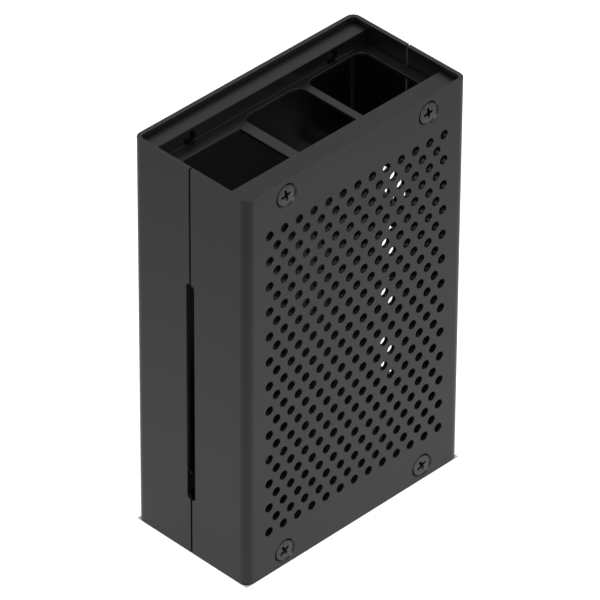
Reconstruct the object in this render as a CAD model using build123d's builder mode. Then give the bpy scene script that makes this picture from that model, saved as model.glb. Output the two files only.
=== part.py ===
from build123d import *
from math import pi, sin, sqrt
import os

os.makedirs("parts", exist_ok=True)

# Vented aluminium case for a credit-card-size single board computer, in millimetres.
# It stands on its card end: ports up (+Z), vented face in front (-Y), ribbon slot at the left (-X).
# Two U-shaped half shells close on an end block at each end, held by countersunk screws.

# Overall size
width = 62.0
depth = 32.2
height = 96.6

# Half shells
wall = 1.0
corner_radius = 2.0
parting_gap = 0.4
edge_break = 0.1

# Vent field: two interleaved grids of small holes, centred on the front face, each drawn as a polygon
vent_diameter = 2.1
vent_sides = 6
vent_pitch_x = 4.1
vent_pitch_z = 6.2
vent_columns = 13
vent_rows = 13

# Ribbon slot, shared by both left walls across the parting gap
slot_width = 2.2
slot_bottom = 13.9
slot_length = 54.4
slot_corner = 0.6

# End blocks: a channel with a rail along each shell's plate, joined by a thin web
rail_recess = 1.3
rail_height = 4.6
front_rail_depth = 5.4
back_rail_depth = 3.9
web_recess = 4.6
web_thickness = 0.8
block_side_gap = 0.1
block_corner = 1.2

# M3 screws, countersunk with a cross recess, and the rectangle of four on each face
screw_diameter = 3.0
screw_head_diameter = 5.5
screw_length = 4.0
screw_recess_span = 3.0
screw_sides = 12
screw_spacing = 40.0

# Fits: how far heads sit below the face, the radial play at threads and at clearance holes,
# and how far the tapped holes run past the screws' tips
head_sink = 0.1
thread_play = 0.03
hole_play = 0.2
tapping_past_tip = 1.0

# The board that the case holds, placed from its header-side and card-side edges
board_width = 56.0
board_thickness = 1.4
board_side_gap = 2.2
board_foot = 6.1
board_hole_inset = 3.5
board_hole_spacing_x = 49.0
board_hole_spacing_z = 58.0

# Standoffs behind the board: an M3 screw from the back, an M2.5 thread for the board in front
standoff_height = 7.0
standoff_flats = 5.0
board_thread_diameter = 2.5
board_thread_depth = 2.5

# Port windows in the port end's web, with jack centres from the board's header-side edge
network_jack = 10.25
usb_jacks = (29.0, 47.0)
port_window_width = 16.0
network_window_length = 14.6
network_window_past_board = 0.9
network_window_corner = 0.4
usb_window_past_board = 3.2
usb_window_corner = 2.0

# Windows in the right wall, with jack centres from the board's card-side edge
power_jack = 11.2
video_jacks = (26.0, 39.5)
audio_jack = 54.0
power_window_length = 11.8
video_window_length = 8.0
audio_window_length = 7.5
side_window_width = 4.2
side_window_past_board = 0.4
side_window_corner = 0.8
audio_window_corner = 2.0

# Card slot in the card end's web
card_slot_length = 14.0
card_slot_width = 5.0
card_slot_past_board = 2.6
card_slot_corner = 1.0

# Places worked out from the sizes above
left = -width / 2
right = width / 2
front = -depth / 2
back = depth / 2
front_inside = front + wall
back_inside = back - wall
front_rail_face = front_inside + front_rail_depth
back_rail_face = back_inside - back_rail_depth
vent_corner_radius = vent_diameter / 2 * sqrt(2 * pi / vent_sides / sin(2 * pi / vent_sides))
screw_inset = rail_recess + rail_height / 2
screw_rise = height - 2 * screw_inset
board_edge = left + wall + board_side_gap
board_back = back_inside - standoff_height
board_face = board_back - board_thickness
board_hole_centre = (
    board_edge + board_hole_inset + board_hole_spacing_x / 2,
    board_foot + board_hole_inset + board_hole_spacing_z / 2,
)

# Faces that screws enter, each facing the way the screws go in, with Z up
front_face = Plane(origin=(0, front, 0), x_dir=(-1, 0, 0), z_dir=(0, 1, 0))
back_face = Plane(origin=(0, back, 0), x_dir=(1, 0, 0), z_dir=(0, -1, 0))


def case_screw_spots(face):
    """The four case screws of one face, on a rectangle that runs down the middle of the rails."""
    with Locations(face):
        with Locations((0, height / 2)):
            with GridLocations(screw_spacing, screw_rise, 2, 2) as spots:
                return spots.locations


def standoff_spots(face):
    """The four board fixings, on a plane along the back face."""
    with Locations(face):
        with Locations(board_hole_centre):
            with GridLocations(board_hole_spacing_x, board_hole_spacing_z, 2, 2) as spots:
                return spots.locations


def countersunk_pin(head_radius, shank_radius, length):
    """A flat head on the origin that narrows by 45 degrees to a shank along +Z: a screw, or its hole."""
    with BuildPart() as pin:
        with BuildSketch() as head:
            RegularPolygon(head_radius, screw_sides, major_radius=False)
        extrude(amount=head_radius - shank_radius, taper=45)
        with BuildSketch() as shank:
            RegularPolygon(shank_radius, screw_sides, major_radius=False)
        extrude(amount=length)
    return pin.part


def countersunk_hole():
    """The space of a hole through the wall, for a head that ends just below the face."""
    mouth_radius = screw_head_diameter / 2 + head_sink + thread_play
    end_radius = max(mouth_radius - wall, screw_diameter / 2 + hole_play)
    return countersunk_pin(mouth_radius, end_radius, wall)


def tapped_hole():
    """The space of a screw's tapped hole behind the wall, with a mouth that clears the head's cone."""
    head_tip = screw_head_diameter / 2 + head_sink + hole_play - wall
    thread_radius = screw_diameter / 2 + thread_play
    mouth_radius = max(head_tip, thread_radius + edge_break)
    return countersunk_pin(mouth_radius, thread_radius, screw_length + head_sink - wall + tapping_past_tip)


def piece_name(kind, spot):
    """A piece's name from its place, with left and right as seen from the front."""
    level = "top" if spot.position.Z > height / 2 else "bottom"
    side = "left" if spot.position.X < 0 else "right"
    return f"{kind}_{level}_{side}"


# Half shell before its holes: a plate with a wall bent up along each long side
with BuildPart() as shell_blank:
    with BuildSketch() as shell_section:
        with BuildLine() as shell_outline:
            FilletPolyline(
                (left, -parting_gap / 2),
                (left, front),
                (right, front),
                (right, -parting_gap / 2),
                radius=corner_radius,
            )
            offset(amount=wall, side=Side.LEFT)
        make_face()
    extrude(amount=height)
    rims = shell_blank.faces().filter_by(Axis.Z).edges()
    parting_edges = shell_blank.edges().filter_by(Axis.Z).group_by(Axis.Y)[-1]
    chamfer(rims + parting_edges, edge_break)


def cut_ribbon_slot():
    """The ribbon slot's outline in the left wall; each shell loses the half on its side."""
    with BuildSketch(Plane.YZ.offset(left)) as slot:
        with Locations((0, slot_bottom)):
            Rectangle(slot_width, slot_length, align=(Align.CENTER, Align.MIN))
        fillet(slot.vertices().group_by(Axis.Y)[-1], slot_corner)
    extrude(slot.sketch, amount=wall, mode=Mode.SUBTRACT)


# Front shell: ribbon slot, case screws and the vent field
with BuildPart() as front_shell:
    add(shell_blank.part)
    cut_ribbon_slot()
    with Locations(*case_screw_spots(front_face)):
        add(countersunk_hole(), mode=Mode.SUBTRACT)
    with BuildSketch(front_face) as vents:
        with Locations((0, height / 2)):
            with GridLocations(vent_pitch_x, vent_pitch_z, vent_columns, vent_rows):
                RegularPolygon(vent_corner_radius, vent_sides)
            with GridLocations(vent_pitch_x, vent_pitch_z, vent_columns - 1, vent_rows - 1):
                RegularPolygon(vent_corner_radius, vent_sides)
    extrude(amount=wall, mode=Mode.SUBTRACT)

# Back shell: jack windows in the right wall, ribbon slot, case screws and standoff screws
with BuildPart() as back_shell:
    mirror(shell_blank.part, about=Plane.XZ)
    cut_ribbon_slot()
    window_back = board_face + side_window_past_board
    with BuildSketch(Plane.YZ.offset(right)) as side_windows:
        with Locations((window_back - side_window_width / 2, board_foot + power_jack)):
            RectangleRounded(side_window_width, power_window_length, side_window_corner)
        for video_jack in video_jacks:
            with Locations((window_back - side_window_width / 2, board_foot + video_jack)):
                RectangleRounded(side_window_width, video_window_length, side_window_corner)
    extrude(amount=-wall, mode=Mode.SUBTRACT)
    with BuildSketch(Plane.YZ.offset(right)) as audio_notch:
        with Locations((0, board_foot + audio_jack)):
            Rectangle(window_back, audio_window_length, align=(Align.MIN, Align.CENTER))
        fillet(audio_notch.vertices().group_by(Axis.X)[-1], audio_window_corner)
    extrude(amount=-wall, mode=Mode.SUBTRACT)
    with Locations(*case_screw_spots(back_face), *standoff_spots(back_face)):
        add(countersunk_hole(), mode=Mode.SUBTRACT)

# End block before its windows, at the card end: two rails and a web as one channel along X
block_width = width - 2 * wall - 2 * block_side_gap
with BuildPart() as block_blank:
    with BuildSketch(Plane.YZ.offset(-block_width / 2)) as block_section:
        with Locations((front_inside, rail_recess)):
            Rectangle(front_rail_depth, rail_height, align=(Align.MIN, Align.MIN))
        with Locations((back_rail_face, rail_recess)):
            Rectangle(back_rail_depth, rail_height, align=(Align.MIN, Align.MIN))
        with Locations((front_inside, web_recess)):
            Rectangle(back_inside - front_inside, web_thickness, align=(Align.MIN, Align.MIN))
    extrude(amount=block_width)
    rail_corners = block_blank.edges().filter_by(Axis.Z).group_by(Axis.Y)
    fillet(rail_corners[0] + rail_corners[-1], block_corner)
    for rail_face in (front_face.offset(wall), back_face.offset(wall)):
        lower_spots = [spot for spot in case_screw_spots(rail_face) if spot.position.Z < height / 2]
        with Locations(*lower_spots):
            add(tapped_hole(), mode=Mode.SUBTRACT)

# Port end block: a network window and two taller double USB windows
with BuildPart() as port_end_block:
    mirror(block_blank.part, about=Plane.XY.offset(height / 2))
    web_bottom = height - web_recess - web_thickness
    network_back = board_face + network_window_past_board
    with BuildSketch(Plane.XY.offset(web_bottom)) as network_window:
        with Locations((board_edge + network_jack, network_back - network_window_length / 2)):
            RectangleRounded(port_window_width, network_window_length, network_window_corner)
    extrude(amount=web_thickness, mode=Mode.SUBTRACT)
    usb_window_length = board_face + usb_window_past_board - front_rail_face
    with BuildSketch(Plane.XY.offset(web_bottom)) as usb_windows:
        for usb_jack in usb_jacks:
            with Locations((board_edge + usb_jack, front_rail_face + usb_window_length / 2)):
                RectangleRounded(port_window_width, usb_window_length, usb_window_corner)
    extrude(amount=web_thickness, mode=Mode.SUBTRACT)

# Card end block: a slot for the memory card on the board's back
with BuildPart() as card_end_block:
    add(block_blank.part)
    card_slot_back = board_back + card_slot_past_board
    with BuildSketch(Plane.XY.offset(web_recess)) as card_slot:
        with Locations((board_edge + board_width / 2, card_slot_back - card_slot_width / 2)):
            RectangleRounded(card_slot_length, card_slot_width, card_slot_corner)
    extrude(amount=web_thickness, mode=Mode.SUBTRACT)


def export_at(piece, kind, spot):
    """A piece drawn along +Z at the origin, moved to its spot, named after it and exported."""
    placed = piece.moved(spot)
    placed.label = piece_name(kind, spot)
    export_step(placed, f"parts/{placed.label}.step")


# Standoff along +Z: a hexagonal pillar between the back plate and the board, with a blind thread in each end
with BuildPart() as standoff:
    with BuildSketch() as standoff_section:
        RegularPolygon(standoff_flats / 2, 6, major_radius=False)
    extrude(amount=standoff_height)
    add(tapped_hole(), mode=Mode.SUBTRACT)
    with BuildSketch(Plane.XY.offset(standoff_height)) as board_thread:
        Circle(board_thread_diameter / 2 + thread_play)
    extrude(amount=-board_thread_depth, mode=Mode.SUBTRACT)

# Screw along +Z, with a cross recess in its head
with BuildPart() as screw:
    add(countersunk_pin(screw_head_diameter / 2, screw_diameter / 2, screw_length))
    with BuildSketch() as cross_recess:
        Rectangle(screw_recess_span, screw_recess_span / 4)
        Rectangle(screw_recess_span / 4, screw_recess_span)
    extrude(amount=screw_recess_span / 3, mode=Mode.SUBTRACT)

# Screws and standoffs at their spots
for spot in case_screw_spots(front_face.offset(head_sink)):
    export_at(screw.part, "front_screw", spot)
for spot in case_screw_spots(back_face.offset(head_sink)):
    export_at(screw.part, "back_screw", spot)
for spot in standoff_spots(back_face.offset(wall)):
    export_at(standoff.part, "standoff", spot)
for spot in standoff_spots(back_face.offset(head_sink)):
    export_at(screw.part, "standoff_screw", spot)

front_shell.part.label = "front_shell"
export_step(front_shell.part, "parts/front_shell.step")

back_shell.part.label = "back_shell"
export_step(back_shell.part, "parts/back_shell.step")

port_end_block.part.label = "port_end_block"
export_step(port_end_block.part, "parts/port_end_block.step")

card_end_block.part.label = "card_end_block"
export_step(card_end_block.part, "parts/card_end_block.step")
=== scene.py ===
"""A vented aluminium case for a single board computer, dressed around its CAD nodes."""
import math

import bmesh
import bpy
from mathutils import Matrix, Vector
from mathutils.geometry import delaunay_2d_cdt


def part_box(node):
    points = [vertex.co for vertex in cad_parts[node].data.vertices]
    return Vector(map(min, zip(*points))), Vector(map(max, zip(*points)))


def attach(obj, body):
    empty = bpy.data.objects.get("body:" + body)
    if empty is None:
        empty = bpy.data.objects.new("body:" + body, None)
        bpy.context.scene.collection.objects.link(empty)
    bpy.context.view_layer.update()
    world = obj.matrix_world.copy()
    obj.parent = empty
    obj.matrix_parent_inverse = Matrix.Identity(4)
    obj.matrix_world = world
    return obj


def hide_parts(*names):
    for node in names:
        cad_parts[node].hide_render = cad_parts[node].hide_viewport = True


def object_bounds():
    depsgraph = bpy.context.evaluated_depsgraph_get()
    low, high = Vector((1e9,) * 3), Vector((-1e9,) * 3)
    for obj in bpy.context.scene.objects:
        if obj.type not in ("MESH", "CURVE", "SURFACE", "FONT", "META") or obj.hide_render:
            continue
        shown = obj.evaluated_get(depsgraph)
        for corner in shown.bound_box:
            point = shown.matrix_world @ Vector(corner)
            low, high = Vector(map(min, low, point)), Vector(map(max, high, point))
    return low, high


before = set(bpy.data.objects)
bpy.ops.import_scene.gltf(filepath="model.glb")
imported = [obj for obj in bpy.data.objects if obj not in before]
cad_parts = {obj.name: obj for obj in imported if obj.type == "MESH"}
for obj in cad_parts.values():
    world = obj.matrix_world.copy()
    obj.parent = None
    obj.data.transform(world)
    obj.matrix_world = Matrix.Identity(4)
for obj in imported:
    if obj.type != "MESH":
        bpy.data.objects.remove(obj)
cad_low, cad_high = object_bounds()

MM = 0.001

# Camera, as a turn about the object's centre, in degrees, metres and the photograph's pixels
VIEW_AZIMUTH = -45.108
VIEW_ELEVATION = 36.779
VIEW_ROLL = 0.347
VIEW_DISTANCE = 1.3749
VIEW_TARGET_OFFSET = (0.025 * MM, 0.089 * MM)
FOCAL_PIXELS = 6768.3
IMAGE_PIXELS = 600
SENSOR_MM = 36.0
CLIP_START, CLIP_END = 0.01, 100.0

# Room and floor, in metres. In reflections alone the floor glows as a painted pool of light, with
# the first strength up to the first distance from the pool's middle, fading to the second strength
# at the second distance.
WORLD_STRENGTH = 0.75
FLOOR_COLOR = (0.80, 0.80, 0.80, 1.0)
FLOOR_REACH = 8.0
FLOOR_GLOW = 0.8
FLOOR_PAINTED_POOL_GLOW = (0.62, 0.03)
FLOOR_PAINTED_POOL_MIDDLE = (0.03, 0.0, 0.0)
FLOOR_PAINTED_POOL_REACH = (0.03, 0.2)

# Square lamps: name, place and side in metres, and watts
SOFTBOXES = (
    ("key", (1.4, -1.5, 1.5), 1.4, 7.0),
    ("fill", (-1.4, 1.3, 1.35), 1.4, 4.0),
    ("edge", (-0.92, -1.8, 0.85), 0.6, 10.0),
)
SOFTBOX_AIM = (0, 0, 0.05)

# Sheet metal of both half shells, in millimetres
WIDTH = 62.0
DEPTH = 32.2
HEIGHT = 96.6
WALL = 1.0
BEND = 2.0
BEND_STEPS = 10
BEND_MARGIN = 0.3
PARTING_GAP = 0.4
EDGE_BREAK = 0.1
TRIANGULATION_TOLERANCE = 1e-6

# The unrolled section, from its middle: half the plate's flat part, a bend, and the sheet's end
FLAT = WIDTH / 2 - BEND
ARC = BEND * math.pi / 2
SHEET_END = FLAT + ARC + DEPTH / 2 - BEND - PARTING_GAP / 2

# Vents: two interleaved grids, each with its columns and rows
VENT_RADIUS = 1.05
VENT_PITCH = (4.1, 6.2)
VENT_COUNTS = ((13, 13), (12, 12))
VENT_STEPS = 28
VENT_BREAK = 0.06

# Openings of the side walls, as heights and as distances from the parting plane
SLOT_HEIGHTS = (13.9, 68.3)
SLOT_REACH = 1.1
SLOT_CORNER = 0.6
AUDIO_HEIGHTS = (56.35, 63.85)
AUDIO_CORNER = 2.0
WINDOW_REACH = (2.9, 7.1)
WINDOW_HEIGHTS = ((11.4, 23.2), (28.1, 36.1), (41.6, 49.6))
WINDOW_CORNER = 0.8
CORNER_STEPS = 6

# M3 countersunk screws: the countersink's mouth, then the head as radii and depths below its face.
# HEAD_EDGE_BRIGHT is how many rings of the head's edge keep the plain oxide. Below them, the head's
# side is painted shade: a near-black oxide standing in for the shade in the countersink's gap.
COUNTERSINK_MOUTH = 2.88
HEAD_FLAT = 2.05
HEAD_EDGE = ((2.18, 0.03), (2.3, 0.1), (2.38, 0.2), (2.42, 0.42))
HEAD_EDGE_BRIGHT = 2
NECK = 1.24
SHANK_RADIUS = 1.5
SCREW_LENGTH = 4.0
THREAD_PITCH = 0.5
THREAD_DEPTH = 0.28
THREAD_STEPS = 6
TIP_CHAMFER = 0.35
SCREW_SEGMENTS = 48

# Their cross recess, and its turn in degrees: bottom left, bottom right, top left, top right
RECESS_ARM = 1.45
RECESS_THROAT = 0.55
RECESS_POWER = 2.6
RECESS_DEPTH = 1.3
RECESS_FOOT = 0.45
RECESS_RINGS = 4
SCREW_TURNS = (60.0, 64.0, 78.0, 82.0)

# Edges: where smooth shading stops, in degrees, and the bevels of the blocks and standoffs
SHARP_ANGLE = 30
BEVEL_ANGLE = 35
BEVEL_SEGMENTS = 2
BLOCK_EDGE_BREAK = 0.12
STANDOFF_EDGE_BREAK = 0.1
WELD_DISTANCE = 0.0005

# Finishes, as linear colours
ANODISED_DARK = (0.0030, 0.0030, 0.0034, 1.0)
ANODISED_LIGHT = (0.0042, 0.0042, 0.0046, 1.0)
ANODISED_IOR = 1.45
OXIDE_DARK = (0.060, 0.060, 0.061, 1.0)
OXIDE_LIGHT = (0.085, 0.085, 0.086, 1.0)
# Painted shade: near-black oxide on the screw heads' sides below their rims, standing in for the
# shade in the countersinks' gaps
PAINTED_SHADE_OXIDE_DARK = (0.003, 0.003, 0.003, 1.0)
PAINTED_SHADE_OXIDE_LIGHT = (0.006, 0.006, 0.006, 1.0)
NICKEL_DARK = (0.30, 0.29, 0.27, 1.0)
NICKEL_LIGHT = (0.46, 0.45, 0.42, 1.0)

# The parts of a noise's range over which colours and roughness change
TINT_SPAN = (0.35, 0.65)
ROUGHNESS_SPAN = (0.3, 0.7)


def add_camera(low, high):
    """The photograph's camera: it looks down at the corner of the vented face and the left wall."""
    azimuth, elevation, roll = map(math.radians, (VIEW_AZIMUTH, VIEW_ELEVATION, VIEW_ROLL))
    back = Vector(
        (
            math.sin(azimuth) * math.cos(elevation),
            -math.cos(azimuth) * math.cos(elevation),
            math.sin(elevation),
        )
    )
    level_right = Vector((math.cos(azimuth), math.sin(azimuth), 0.0))
    level_up = back.cross(level_right)
    right = level_right * math.cos(roll) + level_up * math.sin(roll)
    up = level_up * math.cos(roll) - level_right * math.sin(roll)
    target = (low + high) / 2 + right * VIEW_TARGET_OFFSET[0] + up * VIEW_TARGET_OFFSET[1]
    data = bpy.data.cameras.new("camera")
    data.sensor_width = SENSOR_MM
    data.lens = FOCAL_PIXELS / IMAGE_PIXELS * SENSOR_MM
    data.clip_start = CLIP_START
    data.clip_end = CLIP_END
    camera = bpy.data.objects.new("camera", data)
    turn = Matrix((right, up, back)).transposed().to_4x4()
    camera.matrix_world = Matrix.Translation(target + back * VIEW_DISTANCE) @ turn
    bpy.context.scene.collection.objects.link(camera)
    bpy.context.scene.camera = camera


def add_floor():
    """A wide pale floor, white to the camera, with no glow of its own under the case."""
    mesh = bpy.data.meshes.new("floor")
    reach, half_width, half_depth = FLOOR_REACH, WIDTH / 2 * MM, DEPTH / 2 * MM
    outer = [(-reach, -reach, 0), (reach, -reach, 0), (reach, reach, 0), (-reach, reach, 0)]
    inner = [
        (-half_width, -half_depth, 0),
        (half_width, -half_depth, 0),
        (half_width, half_depth, 0),
        (-half_width, half_depth, 0),
    ]
    around = [(i, (i + 1) % 4, (i + 1) % 4 + 4, i + 4) for i in range(4)]
    under_case = (4, 5, 6, 7)
    mesh.from_pydata(outer + inner, [], around + [under_case])
    floor = bpy.data.objects.new("floor", mesh)
    bpy.context.scene.collection.objects.link(floor)
    mesh.materials.append(floor_material("floor", True))
    mesh.materials.append(floor_material("floor_under_case", False))
    mesh.polygons[len(around)].material_index = 1


def floor_material(name, glows):
    """Matt and pale, and where it glows, bright to camera rays and to reflections alone. To
    reflections the glow is a painted pool of light that fades from its middle.
    """
    material = bpy.data.materials.new(name)
    tree = empty_tree(material)
    output = tree.nodes.new("ShaderNodeOutputMaterial")
    diffuse = tree.nodes.new("ShaderNodeBsdfDiffuse")
    diffuse.inputs["Color"].default_value = FLOOR_COLOR
    if not glows:
        tree.links.new(diffuse.outputs[0], output.inputs["Surface"])
        return material
    path = tree.nodes.new("ShaderNodeLightPath")
    coordinates = tree.nodes.new("ShaderNodeTexCoord")
    distance = tree.nodes.new("ShaderNodeVectorMath")
    distance.operation = "DISTANCE"
    distance.inputs[1].default_value = FLOOR_PAINTED_POOL_MIDDLE
    tree.links.new(coordinates.outputs["Object"], distance.inputs[0])
    # Painted pool of light: a glow that reflections alone see, strongest near the pool's middle
    painted_pool = remap(tree, distance.outputs["Value"], FLOOR_PAINTED_POOL_REACH, FLOOR_PAINTED_POOL_GLOW)
    painted_reflection_glow = combine(tree, "MULTIPLY", path.outputs["Is Glossy Ray"], painted_pool)
    seen = remap(tree, path.outputs["Is Camera Ray"], (0.0, 1.0), (0.0, FLOOR_GLOW))
    glow = tree.nodes.new("ShaderNodeEmission")
    both = tree.nodes.new("ShaderNodeAddShader")
    tree.links.new(combine(tree, "MAXIMUM", seen, painted_reflection_glow), glow.inputs["Strength"])
    tree.links.new(diffuse.outputs[0], both.inputs[0])
    tree.links.new(glow.outputs[0], both.inputs[1])
    tree.links.new(both.outputs[0], output.inputs["Surface"])
    return material


def add_world():
    """An even white room, at full white where the camera or a reflection sees it."""
    world = bpy.data.worlds.new("studio")
    bpy.context.scene.world = world
    tree = empty_tree(world)
    output = tree.nodes.new("ShaderNodeOutputWorld")
    background = tree.nodes.new("ShaderNodeBackground")
    path = tree.nodes.new("ShaderNodeLightPath")
    rays = path.outputs["Is Camera Ray"], path.outputs["Is Glossy Ray"]
    strength = remap(tree, combine(tree, "MAXIMUM", *rays), (0.0, 1.0), (WORLD_STRENGTH, 1.0))
    tree.links.new(strength, background.inputs["Strength"])
    tree.links.new(background.outputs[0], output.inputs["Surface"])


def add_softbox(name, place, size, watts):
    """A square area lamp that faces the object's middle."""
    data = bpy.data.lights.new(name, "AREA")
    data.size = size
    data.energy = watts
    lamp = bpy.data.objects.new(name, data)
    aim = Vector(SOFTBOX_AIM) - Vector(place)
    lamp.location = place
    lamp.rotation_mode = "QUATERNION"
    lamp.rotation_quaternion = aim.to_track_quat("-Z", "Y")
    bpy.context.scene.collection.objects.link(lamp)


def empty_tree(owner):
    """The node tree of a material or world, with nothing in it."""
    owner.use_nodes = True
    owner.node_tree.nodes.clear()
    return owner.node_tree


def combine(tree, operation, first, second):
    """The result of a math operation on two outputs."""
    node = tree.nodes.new("ShaderNodeMath")
    node.operation = operation
    tree.links.new(first, node.inputs[0])
    tree.links.new(second, node.inputs[1])
    return node.outputs[0]


def remap(tree, factor, span, result):
    """A number that runs over the result's range while the factor runs over its span."""
    node = tree.nodes.new("ShaderNodeMapRange")
    node.inputs["From Min"].default_value, node.inputs["From Max"].default_value = span
    node.inputs["To Min"].default_value, node.inputs["To Max"].default_value = result
    tree.links.new(factor, node.inputs["Value"])
    return node.outputs["Result"]


def noise(tree, scale, detail, stretch=(1.0, 1.0, 1.0)):
    """Noise in the object's own space, stretched along its axes; its Fac output."""
    coordinates = tree.nodes.new("ShaderNodeTexCoord")
    mapping = tree.nodes.new("ShaderNodeMapping")
    mapping.inputs["Scale"].default_value = stretch
    texture = tree.nodes.new("ShaderNodeTexNoise")
    texture.inputs["Scale"].default_value = scale
    texture.inputs["Detail"].default_value = detail
    tree.links.new(coordinates.outputs["Object"], mapping.inputs["Vector"])
    tree.links.new(mapping.outputs["Vector"], texture.inputs["Vector"])
    return texture.outputs["Fac"]


def new_material(name, factor_of, dark, light, roughness):
    """A material whose colour and roughness follow one noise, with its tree, shader and noise."""
    material = bpy.data.materials.new(name)
    tree = empty_tree(material)
    output = tree.nodes.new("ShaderNodeOutputMaterial")
    shader = tree.nodes.new("ShaderNodeBsdfPrincipled")
    tree.links.new(shader.outputs["BSDF"], output.inputs["Surface"])
    factor = noise(tree, **factor_of)
    ramp = tree.nodes.new("ShaderNodeValToRGB")
    for element, position, color in zip(ramp.color_ramp.elements, TINT_SPAN, (dark, light)):
        element.position = position
        element.color = color
    tree.links.new(factor, ramp.inputs["Fac"])
    tree.links.new(ramp.outputs["Color"], shader.inputs["Base Color"])
    tree.links.new(remap(tree, factor, ROUGHNESS_SPAN, roughness), shader.inputs["Roughness"])
    return material, tree, shader, factor


def bump(tree, shader, height, strength, distance, below=None):
    """A bump of some millimetres on the shader's normal, over another bump where one is given."""
    node = tree.nodes.new("ShaderNodeBump")
    node.inputs["Strength"].default_value = strength
    node.inputs["Distance"].default_value = distance * MM
    tree.links.new(height, node.inputs["Height"])
    if below is not None:
        tree.links.new(below, node.inputs["Normal"])
    tree.links.new(node.outputs["Normal"], shader.inputs["Normal"])
    return node.outputs["Normal"]


def anodised_aluminium():
    """Satin black anodise over blasted sheet: a matt grain, faint clouds of tone, uneven gloss."""
    material, tree, shader, _ = new_material(
        "black_anodise",
        {"scale": 60.0, "detail": 4.0},
        ANODISED_DARK,
        ANODISED_LIGHT,
        roughness=(0.33, 0.37),
    )
    waves = bump(tree, shader, noise(tree, scale=110.0, detail=1.0), strength=0.05, distance=0.05)
    grain = noise(tree, scale=9000.0, detail=3.0)
    bump(tree, shader, grain, strength=0.12, distance=0.02, below=waves)
    shader.inputs["IOR"].default_value = ANODISED_IOR
    return material


def blackened_steel(name, dark, light):
    """Black oxide on a screw, a little shinier than the case, with tool marks. Given the
    painted-shade colours, it makes the painted shade on a head's side.
    """
    material, tree, shader, _ = new_material(
        name, {"scale": 900.0, "detail": 3.0}, dark, light, roughness=(0.22, 0.36)
    )
    bump(tree, shader, noise(tree, scale=2500.0, detail=2.0), strength=0.2, distance=0.02)
    shader.inputs["Metallic"].default_value = 1.0
    return material


def nickel_plate():
    """Nickel plate on a turned hexagonal pillar, with drawing marks along it."""
    material, tree, shader, marks = new_material(
        "nickel_plate",
        {"scale": 2500.0, "detail": 2.0, "stretch": (1.0, 0.05, 1.0)},
        NICKEL_DARK,
        NICKEL_LIGHT,
        roughness=(0.25, 0.4),
    )
    bump(tree, shader, marks, strength=0.15, distance=0.02)
    shader.inputs["Metallic"].default_value = 1.0
    return material


def add_piece(name, points, faces, material, node):
    """A piece that stands for a CAD node: points in millimetres, smooth except at its edges."""
    mesh = bpy.data.meshes.new(name)
    mesh.from_pydata([tuple(c * MM for c in point) for point in points], [], faces)
    work = bmesh.new()
    work.from_mesh(mesh)
    bmesh.ops.recalc_face_normals(work, faces=work.faces)
    work.to_mesh(mesh)
    work.free()
    mesh.polygons.foreach_set("use_smooth", [True] * len(mesh.polygons))
    mesh.set_sharp_from_angle(angle=math.radians(SHARP_ANGLE))
    mesh.materials.append(material)
    piece = bpy.data.objects.new(name, mesh)
    bpy.context.scene.collection.objects.link(piece)
    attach(piece, "root")
    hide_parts(node)
    return piece


def arc(centre, radius, start, end, steps=CORNER_STEPS):
    """Points of an arc, with angles in degrees."""
    turns = [math.radians(start + (end - start) * i / steps) for i in range(steps + 1)]
    return [(centre[0] + radius * math.cos(t), centre[1] + radius * math.sin(t)) for t in turns]


def circle(centre, radius, steps):
    """A closed loop, counter-clockwise."""
    return arc(centre, radius, 0, 360, steps)[:-1]


def rounded_rectangle(low, high, radius):
    """A closed loop, counter-clockwise."""
    (x0, y0), (x1, y1) = low, high
    return (
        arc((x1 - radius, y0 + radius), radius, -90, 0)
        + arc((x1 - radius, y1 - radius), radius, 0, 90)
        + arc((x0 + radius, y1 - radius), radius, 90, 180)
        + arc((x0 + radius, y0 + radius), radius, 180, 270)
    )


def grown(loop, amount):
    """A counter-clockwise loop moved outwards by this much, each corner along its mitre."""
    moved = []
    for i, (x, y) in enumerate(loop):
        before, after = loop[i - 1], loop[(i + 1) % len(loop)]
        ax, ay = x - before[0], y - before[1]
        bx, by = after[0] - x, after[1] - y
        a, b = math.hypot(ax, ay), math.hypot(bx, by)
        nx, ny = ay / a + by / b, -ax / a - bx / b
        scale = 2 * amount / (nx * nx + ny * ny)
        moved.append((x + nx * scale, y + ny * scale))
    return moved


def broken(size):
    """Rings through the sheet for an opening with broken edges, as depth and growth."""
    return [(0.0, size), (size, 0.0), (WALL - size, 0.0), (WALL, size)]


def along_sheet(reach):
    """A side wall's place on the unrolled section, from its distance to the parting plane."""
    return FLAT + ARC + DEPTH / 2 - BEND - reach


def on_sheet(u, z, depth, side):
    """A point of the bent sheet: u along the unrolled section, z up, depth below the outer skin."""
    run, hand = abs(u), math.copysign(1, u)
    if run <= FLAT:
        x, y = u, DEPTH / 2 - depth
    elif run <= FLAT + ARC:
        turn = (run - FLAT) / BEND
        x = hand * (FLAT + (BEND - depth) * math.sin(turn))
        y = DEPTH / 2 - BEND + (BEND - depth) * math.cos(turn)
    else:
        x, y = hand * (WIDTH / 2 - depth), DEPTH / 2 - BEND - (run - FLAT - ARC)
    return (x, side * y, z)


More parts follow.
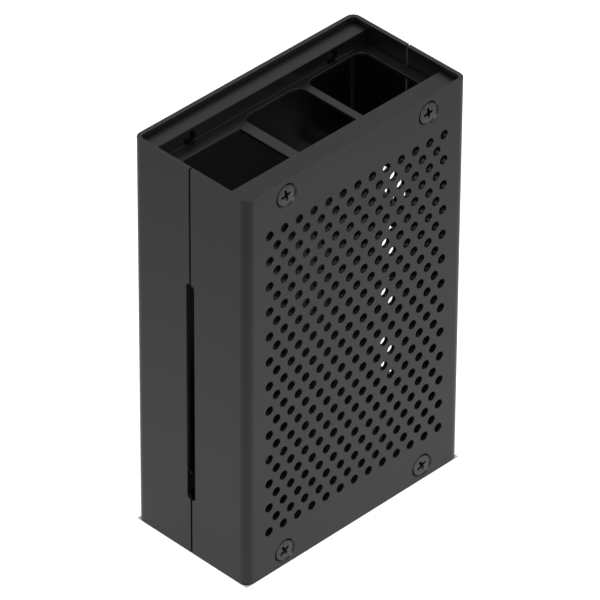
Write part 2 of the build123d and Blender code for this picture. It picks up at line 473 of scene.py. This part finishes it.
def sheet_outline(audio_notch):
    """The unrolled sheet's outline, counter-clockwise, and its bend lines' places on a rim."""
    lines = [FLAT + ARC * i / BEND_STEPS for i in range(BEND_STEPS + 1)]
    lines = [FLAT - BEND_MARGIN] + lines + [FLAT + ARC + BEND_MARGIN]
    rim = [-u for u in reversed(lines)] + lines
    loop = [(-SHEET_END, 0.0)] + [(u, 0.0) for u in rim] + [(SHEET_END, 0.0)]
    if audio_notch:
        deep, (low, high), r = along_sheet(WINDOW_REACH[1]), AUDIO_HEIGHTS, AUDIO_CORNER
        loop.append((SHEET_END, low))
        loop += arc((deep + r, low + r), r, 270, 180)
        loop += arc((deep + r, high - r), r, 180, 90)
        loop.append((SHEET_END, high))
    loop.append((SHEET_END, HEIGHT))
    loop += [(u, HEIGHT) for u in reversed(rim)]
    loop.append((-SHEET_END, HEIGHT))
    deep, (low, high), r = -along_sheet(SLOT_REACH), SLOT_HEIGHTS, SLOT_CORNER
    loop.append((-SHEET_END, high))
    loop += arc((deep - r, high - r), r, 90, 0)
    loop += arc((deep - r, low + r), r, 0, -90)
    loop.append((-SHEET_END, low))
    return loop, rim


def build_shell(name, side, audio_notch, holes, material):
    """A bent sheet with thickness. Each hole is its loop and its rings, as depth and growth."""
    outline, rim = sheet_outline(audio_notch)
    loops = [(outline, [(depth, -growth) for depth, growth in broken(EDGE_BREAK)])] + holes
    points, faces, flat, flat_edges, owner = [], [], [], [], []
    skins = ([], [])
    for number, (loop, rings) in enumerate(loops):
        count = len(loop)
        ring_starts = []
        for k, (depth, growth) in enumerate(rings):
            moved = grown(loop, growth)
            ring_starts.append(len(points))
            points += [on_sheet(u, z, depth, side) for u, z in moved]
            if k == 0:
                first = len(flat)
                flat += [Vector(p) for p in moved]
                flat_edges += [(first + j, first + (j + 1) % count) for j in range(count)]
                owner += [number] * count
        for near, far in zip(ring_starts, ring_starts[1:]):
            for j in range(count):
                following = (j + 1) % count
                faces.append((near + j, near + following, far + following, far + j))
        skins[0].extend(range(ring_starts[0], ring_starts[0] + count))
        skins[1].extend(range(ring_starts[-1], ring_starts[-1] + count))
    # The outline comes first in the flat points, so its indices count for both
    stops = {}
    for index, (u, z) in enumerate(outline):
        stops.setdefault(round(u, 4), {})[z] = index
    for u in rim:
        ends = stops[round(u, 4)]
        flat_edges.append((ends[0.0], ends[HEIGHT]))
    inside_only = 1
    found, _, triangles, sources, _, _ = delaunay_2d_cdt(
        flat, flat_edges, [], inside_only, TRIANGULATION_TOLERANCE
    )
    source = [ids[0] if ids else None for ids in sources]
    if None in source or len(found) != len(flat):
        raise ValueError(f"{name}: the skin's triangulation moved its points")
    for triangle in triangles:
        corners = [source[v] for v in triangle]
        owners = {owner[c] for c in corners}
        in_a_hole = len(owners) == 1 and 0 not in owners
        if not in_a_hole:
            faces += [tuple(skin[c] for c in corners) for skin in skins]
    add_piece(f"{name}_sheet", points, faces, material, name)


def screw_places(prefix):
    """Name, x, z and outer end's y of each CAD node of one kind, by name and in millimetres."""
    places = []
    for name in sorted(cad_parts):
        if name.startswith(prefix + "_") and (prefix != "standoff" or "screw" not in name):
            low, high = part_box(name)
            middle = (Vector(low) + Vector(high)) / 2 / MM
            outer = (low[1] if middle.y < 0 else high[1]) / MM
            places.append((name, middle.x, middle.z, outer))
    return places


def countersinks(*kinds):
    """The holes for these kinds of screw, tapered at 90 degrees through the sheet."""
    return [
        (circle((x, z), COUNTERSINK_MOUTH, SCREW_SEGMENTS), [(0.0, 0.0), (WALL, -WALL)])
        for kind in kinds
        for _, x, z, _ in screw_places(kind)
    ]


def build_shells(material):
    """Both half shells, with round vents in front and the jack windows behind."""
    vents = []
    for columns, rows in VENT_COUNTS:
        for i in range(columns):
            for j in range(rows):
                centre = (
                    (i - (columns - 1) / 2) * VENT_PITCH[0],
                    HEIGHT / 2 + (j - (rows - 1) / 2) * VENT_PITCH[1],
                )
                vents.append((circle(centre, VENT_RADIUS, VENT_STEPS), broken(VENT_BREAK)))
    build_shell("front_shell", -1, False, vents + countersinks("front_screw"), material)
    windows = []
    for low, high in WINDOW_HEIGHTS:
        corners = (along_sheet(WINDOW_REACH[1]), low), (along_sheet(WINDOW_REACH[0]), high)
        windows.append((rounded_rectangle(*corners, WINDOW_CORNER), broken(EDGE_BREAK)))
    back_holes = countersinks("back_screw", "standoff_screw") + windows
    build_shell("back_shell", 1, True, back_holes, material)


def screw_angles():
    """The directions of a ring's points about the screw's axis."""
    return [2 * math.pi * j / SCREW_SEGMENTS for j in range(SCREW_SEGMENTS)]


def screw_rings():
    """Rings of radius and depth: from the recess's floor over the head, then down to the tip."""
    rings = []
    arm = RECESS_ARM - RECESS_THROAT
    for k in range(RECESS_RINGS + 1):
        share = 1 - k / RECESS_RINGS
        size = 1 - (1 - RECESS_FOOT) * share
        depth = RECESS_DEPTH * share
        cross = [RECESS_THROAT + arm * abs(math.cos(2 * t)) ** RECESS_POWER for t in screw_angles()]
        rings.append([(size * radius, depth) for radius in cross])
    for radius, depth in ((HEAD_FLAT, 0.0),) + HEAD_EDGE + ((SHANK_RADIUS, NECK),):
        rings.append([(radius, depth)] * SCREW_SEGMENTS)
    turns = int((SCREW_LENGTH - TIP_CHAMFER - NECK) / THREAD_PITCH * THREAD_STEPS)
    for k in range(1, turns + 1):
        depth = NECK + k * THREAD_PITCH / THREAD_STEPS
        ring = []
        for t in screw_angles():
            phase = (depth / THREAD_PITCH - t / (2 * math.pi)) % 1.0
            ring.append((SHANK_RADIUS - THREAD_DEPTH * (1 - abs(2 * phase - 1)), depth))
        rings.append(ring)
    tip_radius = SHANK_RADIUS - THREAD_DEPTH - TIP_CHAMFER / 2
    rings.append([(tip_radius, SCREW_LENGTH)] * SCREW_SEGMENTS)
    return rings


def build_screws(material, painted_shade_material):
    """Every screw at its CAD node's place, as it came to rest, with painted shade (a near-black
    oxide) on its head's side below its rim.
    """
    rings = screw_rings()
    painted_shade_start = (RECESS_RINGS + 1 + HEAD_EDGE_BRIGHT) * SCREW_SEGMENTS
    painted_shade_end = (RECESS_RINGS + 2 + len(HEAD_EDGE)) * SCREW_SEGMENTS
    faces = []
    for k in range(len(rings) - 1):
        a, b = k * SCREW_SEGMENTS, (k + 1) * SCREW_SEGMENTS
        for j in range(SCREW_SEGMENTS):
            following = (j + 1) % SCREW_SEGMENTS
            faces.append((a + j, a + following, b + following, b + j))
    faces.append(tuple(range(SCREW_SEGMENTS)))
    faces.append(tuple(range((len(rings) - 1) * SCREW_SEGMENTS, len(rings) * SCREW_SEGMENTS)))
    for kind in ("front_screw", "back_screw", "standoff_screw"):
        for (node, x, z, outer), degrees in zip(screw_places(kind), SCREW_TURNS):
            turn = math.radians(degrees)
            inwards = -math.copysign(1, outer)
            points = [
                (
                    x - inwards * radius * math.cos(t + turn),
                    outer + inwards * depth,
                    z + radius * math.sin(t + turn),
                )
                for ring in rings
                for (radius, depth), t in zip(ring, screw_angles())
            ]
            screw = add_piece(node + "_machined", points, faces, material, node)
            # Painted shade: the rings of the head's side below its bright edge take the near-black
            # oxide
            screw.data.materials.append(painted_shade_material)
            for face in screw.data.polygons[painted_shade_start:painted_shade_end]:
                face.material_index = 1


def dress_node(name, material, edge_break):
    """A carried-over CAD node: its finish, and its edges broken."""
    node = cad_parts[name]
    node.data.materials.clear()
    node.data.materials.append(material)
    weld = node.modifiers.new("weld", "WELD")
    weld.merge_threshold = WELD_DISTANCE * MM
    edges = node.modifiers.new("edges", "BEVEL")
    edges.width = edge_break * MM
    edges.segments = BEVEL_SEGMENTS
    edges.limit_method = "ANGLE"
    edges.angle_limit = math.radians(BEVEL_ANGLE)
    edges.use_clamp_overlap = False


add_camera(cad_low, cad_high)
anodise = anodised_aluminium()
oxide = blackened_steel("black_oxide", OXIDE_DARK, OXIDE_LIGHT)
# Painted shade for the screw heads' sides in the countersinks' gaps
painted_shade_oxide = blackened_steel("black_oxide_painted_shade", PAINTED_SHADE_OXIDE_DARK, PAINTED_SHADE_OXIDE_LIGHT)
nickel = nickel_plate()
build_shells(anodise)
build_screws(oxide, painted_shade_oxide)
for block in ("port_end_block", "card_end_block"):
    dress_node(block, anodise, BLOCK_EDGE_BREAK)
for standoff, *_ in screw_places("standoff"):
    dress_node(standoff, nickel, STANDOFF_EDGE_BREAK)
add_floor()
add_world()
for softbox in SOFTBOXES:
    add_softbox(*softbox)

bpy.context.scene.view_settings.view_transform = "Standard"
